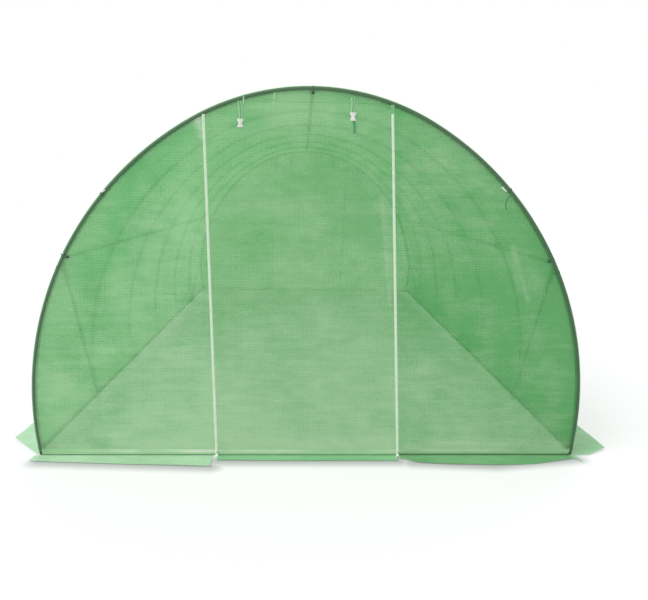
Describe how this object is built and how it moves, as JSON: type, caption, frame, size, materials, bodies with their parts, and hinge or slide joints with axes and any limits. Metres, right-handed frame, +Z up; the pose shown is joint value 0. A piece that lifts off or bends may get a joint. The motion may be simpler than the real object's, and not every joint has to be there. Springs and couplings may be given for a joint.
{
  "type": "polytunnel greenhouse",
  "caption": "Walk-in polytunnel: steel hoops, purlins and ground rails under a translucent green grid film, with a zipped roll-up door at each end and film skirts on the ground.",
  "frame": {"origin": "on the ground under the middle of the tunnel", "axes": "+Z up, Y along the tunnel with the front end at -Y, X across it"},
  "size_m": [3.3934, 6.3, 2],
  "materials": {
    "frame_tube": "dull galvanised steel tube",
    "cover_film": "translucent woven-grid film",
    "skirt_film": "matt film",
    "hem_film": "doubled film",
    "zip_chain": "cream zip tape and coil",
    "zip_metal": "lacquered slider",
    "webbing": "woven strap",
    "buckle": "moulded plastic",
    "tie_cord": "braided cord"
  },
  "bodies": {
    "root": {"base_rail_left": "frame_tube", "base_rail_right": "frame_tube", "brace_back_left": "frame_tube", "brace_back_right": "frame_tube", "brace_front_left": "frame_tube", "brace_front_right": "frame_tube", "cover": "cover_film", "door_back": "cover_film", "door_buckles_back": "buckle", "door_buckles_front": "buckle", "door_front": "cover_film", "door_straps_back": "webbing", "door_straps_front": "webbing", "hem_back": "hem_film", "hem_front": "hem_film", "hoop_1": "frame_tube", "hoop_2": "frame_tube", "hoop_3": "frame_tube", "hoop_4": "frame_tube", "hoop_5": "frame_tube", "hoop_6": "frame_tube", "hoop_7": "frame_tube", "purlin_left": "frame_tube", "purlin_right": "frame_tube", "ridge_purlin": "frame_tube", "sill_back": "frame_tube", "sill_front": "frame_tube", "skirt_back_door": "skirt_film", "skirt_back_left": "skirt_film", "skirt_back_right": "skirt_film", "skirt_front_door": "skirt_film", "skirt_front_left": "skirt_film", "skirt_front_right": "skirt_film", "skirt_left": "skirt_film", "skirt_right": "skirt_film", "tie_cord": "tie_cord", "wall_back_left": "cover_film", "wall_back_right": "cover_film", "wall_front_left": "cover_film", "wall_front_right": "cover_film", "zip_back_left": "zip_chain", "zip_back_right": "zip_chain", "zip_front_left": "zip_chain", "zip_front_right": "zip_chain", "zip_pulls_back": "zip_metal", "zip_pulls_front": "zip_metal"}
  },
  "joints": []
}
